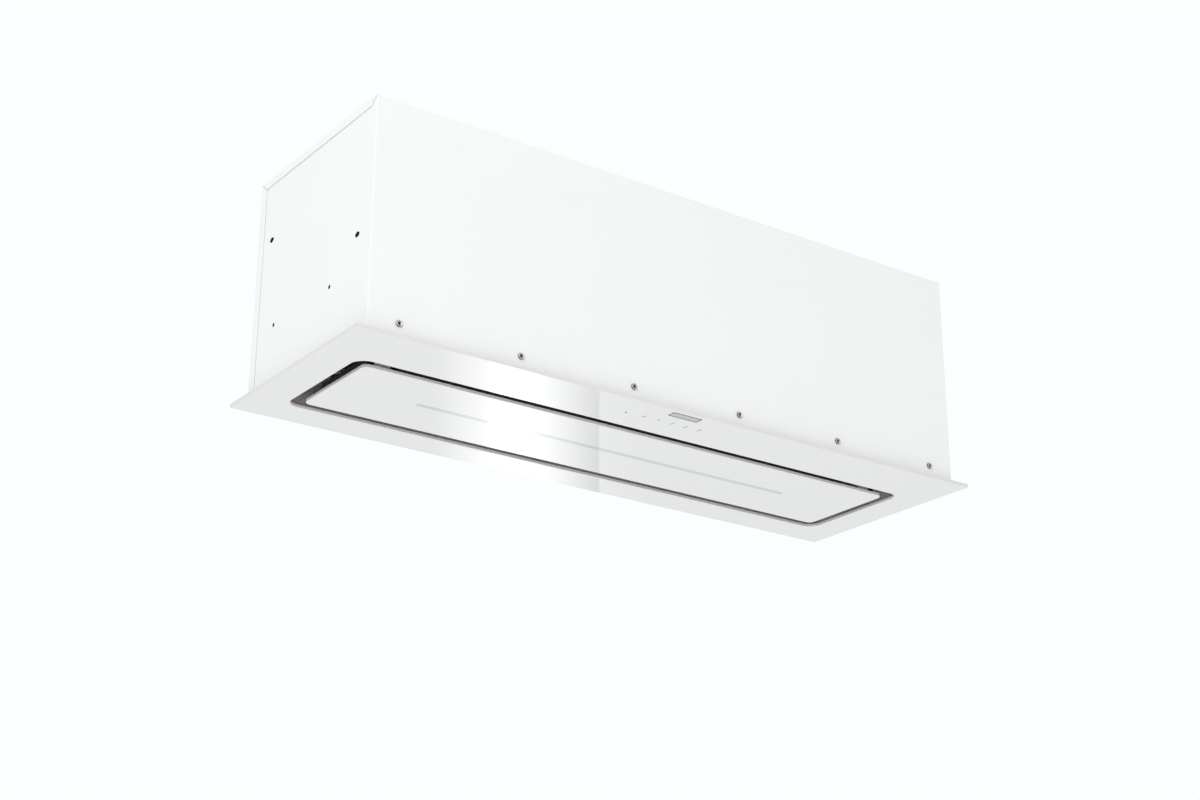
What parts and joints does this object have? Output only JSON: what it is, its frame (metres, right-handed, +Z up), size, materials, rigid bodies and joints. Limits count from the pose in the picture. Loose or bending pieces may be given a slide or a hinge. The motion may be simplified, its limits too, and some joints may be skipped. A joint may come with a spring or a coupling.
{
  "type": "ceiling range hood",
  "caption": "Ceiling range hood: white casing hidden in the ceiling, glass frame, hinged glass panel with a suction gap all round and a light strip.",
  "frame": {"origin": "centre of the glass frame's upper face, in the plane of the ceiling", "axes": "+X along the length, +Y towards the rear, -Y towards the front with the touch keys, +Z up into the ceiling"},
  "size_m": [0.9, 0.3, 0.332],
  "materials": {
    "frame_glass": "gloss",
    "panel_glass": "gloss",
    "casing_sheet": "satin",
    "carrier_sheet": "satin",
    "zinc_sheet": "satin",
    "screw_steel": "polished",
    "aluminium": "satin",
    "motor_case": "satin",
    "black_plastic": "matt",
    "grey_plastic": "matt",
    "white_plastic": "matt",
    "opal": "satin",
    "board": "matt",
    "rubber": "matt"
  },
  "bodies": {
    "casing": {"cable_gland": "grey_plastic", "capacitor": "white_plastic", "carrier_frame": "carrier_sheet", "casing_screws": "screw_steel", "control_board": "board", "control_box": "grey_plastic", "control_box_lid": "grey_plastic", "damper_pin": "screw_steel", "filter_deck": "zinc_sheet", "filter_frame_left": "aluminium", "filter_frame_right": "aluminium", "filter_mesh_left": "aluminium", "filter_mesh_right": "aluminium", "front_casing": "casing_sheet", "glass_frame": "frame_glass", "hinge_bracket_left": "zinc_sheet", "hinge_bracket_right": "zinc_sheet", "hinge_pins": "screw_steel", "latch_guide_left": "zinc_sheet", "latch_guide_right": "zinc_sheet", "led_driver": "white_plastic", "magnet_catch_left": "grey_plastic", "magnet_catch_right": "grey_plastic", "motor": "motor_case", "motor_bracket": "zinc_sheet", "motor_grommets": "rubber", "outlet_spigot": "black_plastic", "scroll_clips": "screw_steel", "scroll_left": "black_plastic", "scroll_right": "black_plastic", "spigot_screws": "screw_steel", "terminal_block": "white_plastic", "top_rear_cover": "casing_sheet", "touch_board": "board", "touch_cap": "grey_plastic"},
    "panel": {"centre_glass": "panel_glass", "panel_tray": "zinc_sheet", "led_diffuser": "opal", "led_profile": "aluminium", "led_board": "board", "hinge_arm_left": "zinc_sheet", "hinge_arm_right": "zinc_sheet", "strike_plate_left": "zinc_sheet", "strike_plate_right": "zinc_sheet"},
    "wheel": {"impeller": "black_plastic", "motor_shaft": "screw_steel"},
    "flap_front": {"damper_flap_front": "black_plastic"},
    "flap_rear": {"damper_flap_rear": "black_plastic"},
    "latch_left": {"filter_latch_left": "grey_plastic"},
    "latch_right": {"filter_latch_right": "grey_plastic"}
  },
  "joints": [
    {"name": "panel_hinge", "type": "hinge", "parent": "casing", "child": "panel", "pos_m": [0, -0.0497, 0.012], "axis": [-1, 0, 0], "range_deg": [0, 90]},
    {"name": "wheel_spin", "type": "hinge", "parent": "casing", "child": "wheel", "pos_m": [0, -0.04, 0.1597], "axis": [1, 0, 0], "continuous": true},
    {"name": "flap_front_swing", "type": "hinge", "parent": "casing", "child": "flap_front", "pos_m": [0, 0.03125, 0.2971], "axis": [-1, 0, 0], "range_deg": [0, 75]},
    {"name": "flap_rear_swing", "type": "hinge", "parent": "casing", "child": "flap_rear", "pos_m": [0, 0.03125, 0.2971], "axis": [1, 0, 0], "range_deg": [0, 75]},
    {"name": "latch_left_slide", "type": "slide", "parent": "casing", "child": "latch_left", "axis": [0, 1, 0], "range_m": [0, 0.008], "stiffness_N_per_m": 300},
    {"name": "latch_right_slide", "type": "slide", "parent": "casing", "child": "latch_right", "axis": [0, 1, 0], "range_m": [0, 0.008], "stiffness_N_per_m": 300}
  ]
}
